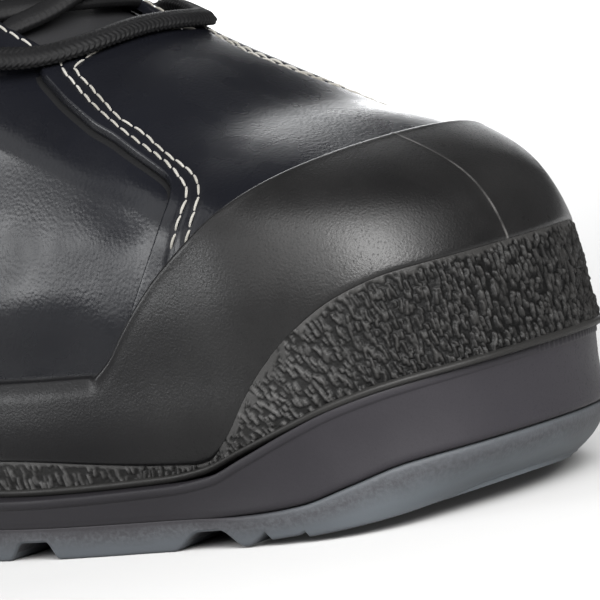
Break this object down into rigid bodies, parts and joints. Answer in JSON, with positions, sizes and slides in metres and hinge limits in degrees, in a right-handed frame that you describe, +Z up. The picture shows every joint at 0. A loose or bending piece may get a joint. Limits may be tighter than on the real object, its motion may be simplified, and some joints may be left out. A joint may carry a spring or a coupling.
{
  "type": "safety boot",
  "caption": "Right ankle-high lace-up safety boot: hollow leather upper, stitched vamp, moulded toe guard and rand, padded tongue, lugged two-layer sole.",
  "frame": {"origin": "on the floor under the middle of the boot's bounding box", "axes": "+X towards the toe, +Y towards the inner (big-toe) side, +Z up"},
  "size_m": [0.3029, 0.1075, 0.1816],
  "materials": {
    "leather": "satin",
    "black_rubber": "satin",
    "midsole_foam": "satin",
    "tread_rubber": "matt",
    "cloth": "matt",
    "lace_cord": "matt",
    "eyelet_metal": "satin"
  },
  "bodies": {
    "root": {"upper": "leather", "vamp": "leather", "overcap": "black_rubber", "midsole": "midsole_foam", "outsole": "tread_rubber", "insole": "cloth", "tongue": "cloth", "lace": "lace_cord", "eyelet_lateral_1": "eyelet_metal", "eyelet_lateral_2": "eyelet_metal", "eyelet_lateral_3": "eyelet_metal", "eyelet_lateral_4": "eyelet_metal", "eyelet_lateral_5": "eyelet_metal", "eyelet_medial_1": "eyelet_metal", "eyelet_medial_2": "eyelet_metal", "eyelet_medial_3": "eyelet_metal", "eyelet_medial_4": "eyelet_metal", "eyelet_medial_5": "eyelet_metal"}
  },
  "joints": []
}
